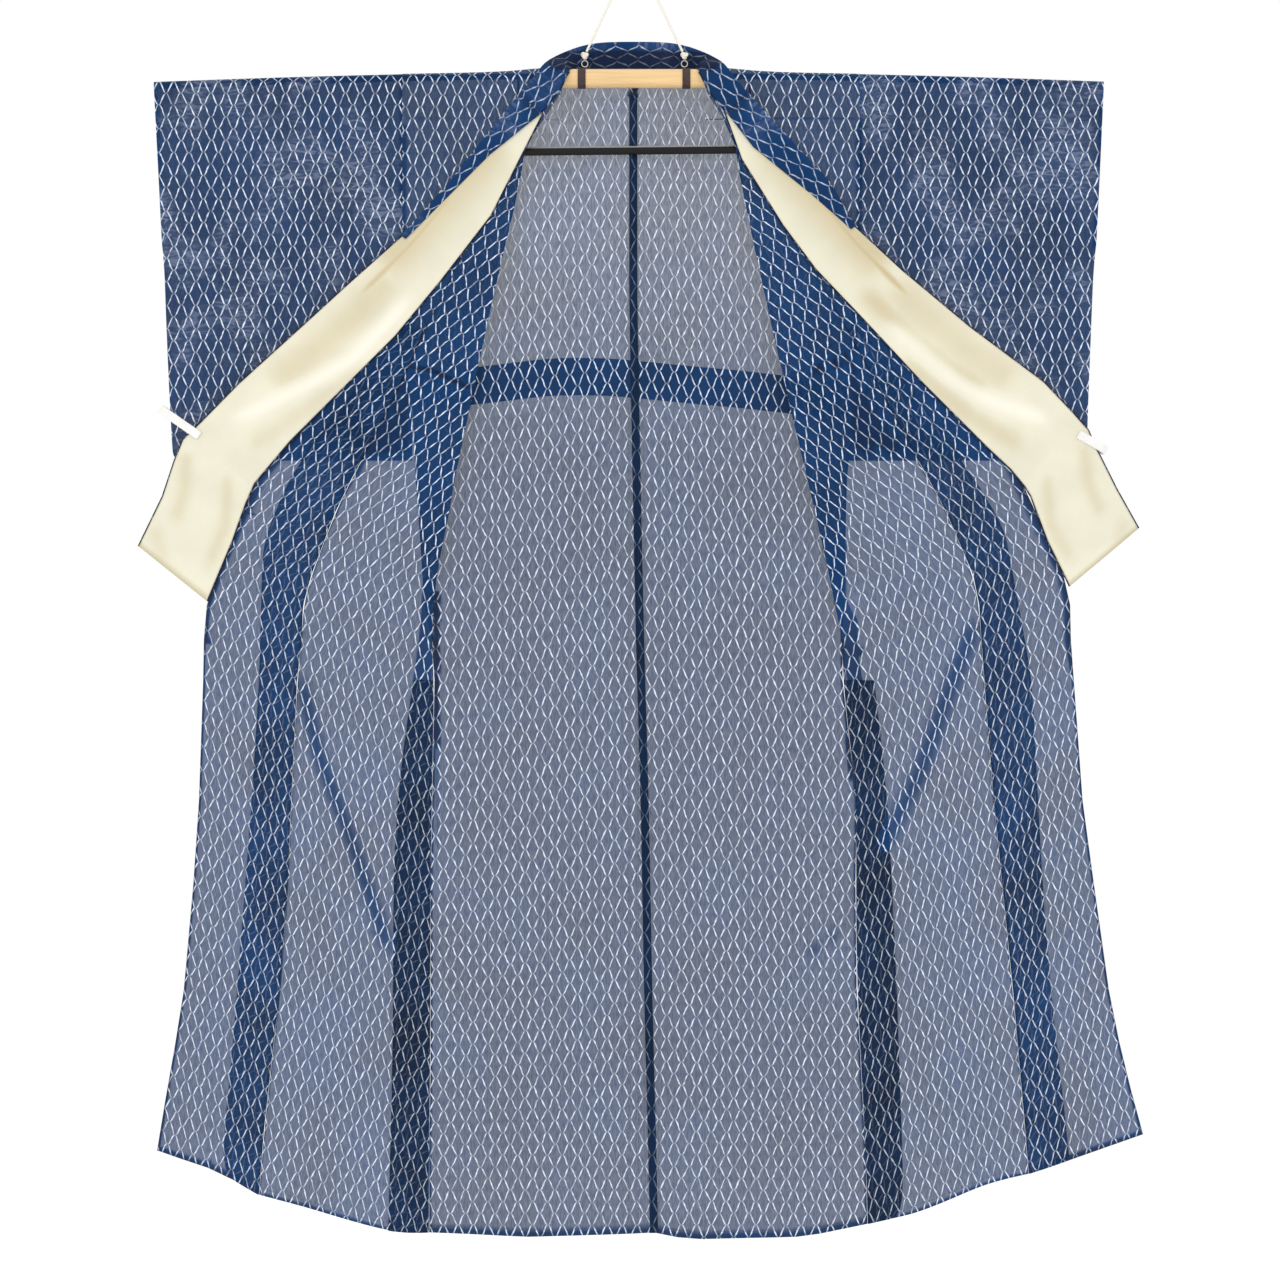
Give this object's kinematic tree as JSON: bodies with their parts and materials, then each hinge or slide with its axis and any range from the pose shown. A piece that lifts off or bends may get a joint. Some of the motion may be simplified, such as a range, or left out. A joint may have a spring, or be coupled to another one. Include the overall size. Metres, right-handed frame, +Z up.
{
  "type": "kimono on its hanger",
  "caption": "Sheer unlined kimono hung flat on a telescopic hanger, front edges turned outwards and clipped to the sleeves, with cream collar lining showing.",
  "frame": {"origin": "top of the inside of the hanging ring, where a hook carries the hanger and the garment", "axes": "+Z up, +X to the right of someone who faces the open garment, +Y away from them, towards the wall"},
  "size_m": [1.3449, 0.04, 1.7617],
  "materials": {
    "silk_gauze": "sheer indigo silk gauze, white wave-net pattern",
    "silk_gauze_sleeve": "sheer indigo silk gauze, two layers",
    "silk_gauze_folded": "indigo silk gauze, folded layers",
    "seam_binding": "folded seam of indigo gauze",
    "cream_silk": "plain cream silk",
    "bar_wood": "pale varnished wood",
    "dark_band": "dark brown, satin",
    "dark_rod": "dark enamel",
    "black_enamel": "black enamel",
    "white_cord": "braided cotton",
    "nickel": "nickel plated",
    "white_plastic": "moulded"
  },
  "bodies": {
    "root": {"back_left": "silk_gauze", "back_right": "silk_gauze", "shoulder_left": "silk_gauze", "shoulder_right": "silk_gauze", "back_binding": "seam_binding", "tuck_left": "silk_gauze_folded", "tuck_right": "silk_gauze_folded", "sleeve_left": "silk_gauze_sleeve", "sleeve_right": "silk_gauze_sleeve", "front_left": "silk_gauze", "front_right": "silk_gauze", "flap_left": "silk_gauze", "flap_right": "silk_gauze", "okumi_left": "silk_gauze", "okumi_right": "silk_gauze", "side_allowance_left": "silk_gauze_folded", "side_allowance_right": "silk_gauze_folded", "okumi_allowance_left": "silk_gauze_folded", "okumi_allowance_right": "silk_gauze_folded", "collar_back": "silk_gauze_folded", "collar_left": "silk_gauze_folded", "collar_right": "silk_gauze_folded", "collar_turn_left": "silk_gauze_folded", "collar_turn_right": "silk_gauze_folded", "lining_left": "cream_silk", "lining_right": "cream_silk", "bar": "bar_wood", "band_left": "dark_band", "band_right": "dark_band", "rod_left": "dark_rod", "rod_right": "dark_rod", "sash_bar": "black_enamel", "link_left": "black_enamel", "link_right": "black_enamel", "eye_left": "nickel", "eye_right": "nickel", "knot_left": "white_cord", "knot_right": "white_cord", "cord_left": "white_cord", "cord_right": "white_cord", "top_knot": "white_cord", "hanging_ring": "nickel", "clip_left": "white_plastic", "clip_right": "white_plastic"}
  },
  "joints": []
}
